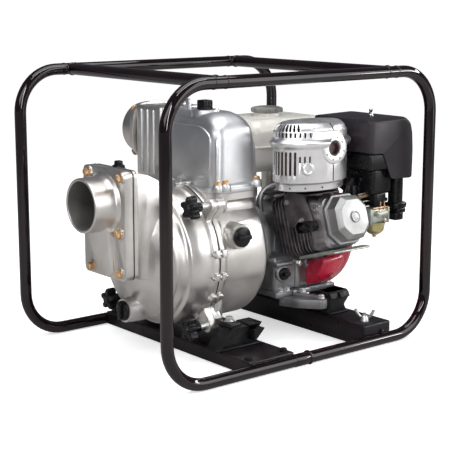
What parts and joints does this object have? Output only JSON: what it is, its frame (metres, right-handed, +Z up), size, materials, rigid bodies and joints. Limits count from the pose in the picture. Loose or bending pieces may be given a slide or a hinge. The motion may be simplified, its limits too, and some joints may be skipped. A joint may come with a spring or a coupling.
{
  "type": "engine driven trash pump",
  "caption": "Trash pump with a cast self-priming casing, a bolted suction port and a gas engine on rubber mounts, carried in a frame of two tube hoops and cross channels.",
  "frame": {"origin": "under the middle of the frame, on the surface that the hoops stand on", "axes": "+Z up; +X along the crankshaft from the suction port to the engine's pull starter; +Y towards the side that the pump delivers to, away from the engine's cylinder"},
  "size_m": [0.735, 0.545, 0.6],
  "materials": {
    "frame_paint": "glossy dark brown-black paint",
    "rail_paint": "satin black paint",
    "rubber": "matt black rubber",
    "cast_alloy": "bare satin casting",
    "chamber_alloy": "bare satin casting, a little darker",
    "steel": "bright zinc plating",
    "black_plastic": "black moulded plastic",
    "cast_iron": "dark bare casting",
    "engine_alloy": "bare grey die casting",
    "dark_fins": "satin black paint on castings",
    "bright_cover": "bright pressed metal",
    "white_ceramic": "glazed white ceramic",
    "shroud_red": "glossy red paint",
    "muffler_steel": "dull heat-darkened sheet",
    "shield_steel": "bright plated sheet",
    "carb_alloy": "greenish grey die casting",
    "gold_zinc": "yellow zinc plating",
    "cleaner_plastic": "dark grey-brown textured plastic",
    "filter_foam": "pleated paper and foam",
    "tank_white": "glossy off-white",
    "cap_plastic": "pale grey moulded plastic"
  },
  "bodies": {
    "root": {"frame_hoop_near": "frame_paint", "frame_hoop_far": "frame_paint", "cross_tube_front": "frame_paint", "cross_tube_rear": "frame_paint", "pump_rail": "rail_paint", "engine_rail": "rail_paint", "control_bracket": "rail_paint", "pump_mount_near": "rubber", "pump_mount_far": "rubber", "engine_mount_near": "rubber", "engine_mount_far": "rubber", "front_cover": "cast_alloy", "suction_flange": "cast_alloy", "pump_casing": "cast_alloy", "discharge_flange": "cast_alloy", "discharge_chamber": "chamber_alloy", "stud_near_top": "steel", "stud_near_bottom": "steel", "stud_far_top": "steel", "stud_far_bottom": "steel", "mechanical_seal": "steel", "air_cleaner_base": "black_plastic", "volute": "cast_iron", "crankcase": "engine_alloy", "cylinder": "dark_fins", "valve_cover": "bright_cover", "spark_plug": "white_ceramic", "fan_shroud": "shroud_red", "recoil_housing": "shroud_red", "muffler": "muffler_steel", "muffler_shield": "shield_steel", "carburettor": "carb_alloy", "float_bowl": "gold_zinc", "filter_element": "filter_foam", "fuel_tank": "tank_white"},
    "rotor": {"impeller": "cast_iron", "crankshaft": "steel", "flywheel": "cast_iron"},
    "check_valve": {"check_valve_flap": "rubber"},
    "knob_near_top": {"knob_near_top": "black_plastic"},
    "knob_near_bottom": {"knob_near_bottom": "black_plastic"},
    "knob_far_top": {"knob_far_top": "black_plastic"},
    "knob_far_bottom": {"knob_far_bottom": "black_plastic"},
    "suction_box_plug": {"suction_box_plug": "black_plastic"},
    "front_drain_plug": {"front_drain_plug": "black_plastic"},
    "casing_side_plug": {"casing_side_plug": "black_plastic"},
    "priming_cap": {"priming_cap": "black_plastic"},
    "oil_filler_cap": {"oil_filler_cap": "black_plastic"},
    "fuel_cap": {"fuel_cap": "cap_plastic"},
    "piston": {"piston": "engine_alloy"},
    "starter_grip": {"starter_grip": "black_plastic"},
    "starter_reel": {"starter_reel": "black_plastic"},
    "spark_plug_cap": {"spark_plug_cap": "black_plastic"},
    "air_cleaner_cover": {"air_cleaner_cover": "cleaner_plastic"},
    "air_cleaner_wing_nut": {"air_cleaner_wing_nut": "steel"},
    "choke_lever": {"choke_lever": "black_plastic"},
    "fuel_valve_lever": {"fuel_valve_lever": "black_plastic"},
    "throttle_lever": {"throttle_lever": "black_plastic"},
    "engine_switch": {"engine_switch": "black_plastic"}
  },
  "joints": [
    {"name": "rotor_turn", "type": "hinge", "parent": "root", "child": "rotor", "pos_m": [0, 0.02, 0.205], "axis": [1, 0, 0], "continuous": true},
    {"name": "check_valve_turn", "type": "hinge", "parent": "root", "child": "check_valve", "pos_m": [-0.2835, 0.02, 0.383], "axis": [0, 1, 0], "range_deg": [-50, 0]},
    {"name": "knob_near_top_turn", "type": "hinge", "parent": "root", "child": "knob_near_top", "pos_m": [-0.181, -0.112, 0.325], "axis": [1, 0, 0], "continuous": true},
    {"name": "knob_near_bottom_turn", "type": "hinge", "parent": "root", "child": "knob_near_bottom", "pos_m": [-0.181, -0.106, 0.072], "axis": [1, 0, 0], "continuous": true},
    {"name": "knob_far_top_turn", "type": "hinge", "parent": "root", "child": "knob_far_top", "pos_m": [-0.181, 0.186, 0.325], "axis": [1, 0, 0], "continuous": true},
    {"name": "knob_far_bottom_turn", "type": "hinge", "parent": "root", "child": "knob_far_bottom", "pos_m": [-0.181, 0.186, 0.078], "axis": [1, 0, 0], "continuous": true},
    {"name": "suction_box_plug_turn", "type": "hinge", "parent": "root", "child": "suction_box_plug", "pos_m": [-0.268, 0.02, 0.4], "axis": [0, 0, 1], "continuous": true},
    {"name": "front_drain_plug_turn", "type": "hinge", "parent": "root", "child": "front_drain_plug", "pos_m": [-0.268, 0.01, 0.102], "axis": [-1, 0, 0], "continuous": true},
    {"name": "casing_side_plug_turn", "type": "hinge", "parent": "root", "child": "casing_side_plug", "pos_m": [-0.076, -0.142, 0.257], "axis": [0, -1, 0], "continuous": true},
    {"name": "priming_cap_turn", "type": "hinge", "parent": "root", "child": "priming_cap", "pos_m": [-0.06, 0, 0.508], "axis": [0, 0, 1], "continuous": true},
    {"name": "oil_filler_cap_turn", "type": "hinge", "parent": "root", "child": "oil_filler_cap", "pos_m": [0.076, -0.1, 0.15], "axis": [0, -1, 0], "continuous": true},
    {"name": "fuel_cap_turn", "type": "hinge", "parent": "root", "child": "fuel_cap", "pos_m": [0.205, 0.105, 0.478], "axis": [0, 0, 1], "continuous": true},
    {"name": "piston_slide", "type": "slide", "parent": "root", "child": "piston", "axis": [0, -0.9563, 0.2924], "range_m": [-0.03, 0.03]},
    {"name": "starter_pull", "type": "slide", "parent": "root", "child": "starter_grip", "axis": [0, 1, 0], "range_m": [0, 0.6]},
    {"name": "starter_reel_turn", "type": "hinge", "parent": "root", "child": "starter_reel", "pos_m": [0.306, 0.02, 0.205], "axis": [1, 0, 0], "range_deg": [-750, 0]},
    {"name": "spark_plug_cap_slide", "type": "slide", "parent": "root", "child": "spark_plug_cap", "axis": [-1, 0, 0], "range_m": [0, 0.03]},
    {"name": "air_cleaner_lift", "type": "slide", "parent": "root", "child": "air_cleaner_cover", "axis": [0, 0, 1], "range_m": [0, 0.08]},
    {"name": "air_cleaner_wing_nut_turn", "type": "hinge", "parent": "air_cleaner_cover", "child": "air_cleaner_wing_nut", "pos_m": [0.286, -0.15, 0.4853], "axis": [0, 0, 1], "continuous": true},
    {"name": "choke_lever_turn", "type": "hinge", "parent": "root", "child": "choke_lever", "pos_m": [0.2863, -0.192, 0.276], "axis": [1, 0, 0], "range_deg": [0, 75]},
    {"name": "fuel_valve_lever_turn", "type": "hinge", "parent": "root", "child": "fuel_valve_lever", "pos_m": [0.248, -0.2123, 0.278], "axis": [0, 1, 0], "range_deg": [0, 90]},
    {"name": "throttle_lever_turn", "type": "hinge", "parent": "root", "child": "throttle_lever", "pos_m": [0.236, -0.174, 0.322], "axis": [0, 1, 0], "range_deg": [-30, 30]},
    {"name": "engine_switch_turn", "type": "hinge", "parent": "root", "child": "engine_switch", "pos_m": [0.29, -0.035, 0.3], "axis": [1, 0, 0], "range_deg": [0, 45]}
  ],
  "couplings": [
    {"joint": "starter_reel_turn", "follows": "starter_pull", "rad_per_m": -21.739}
  ]
}
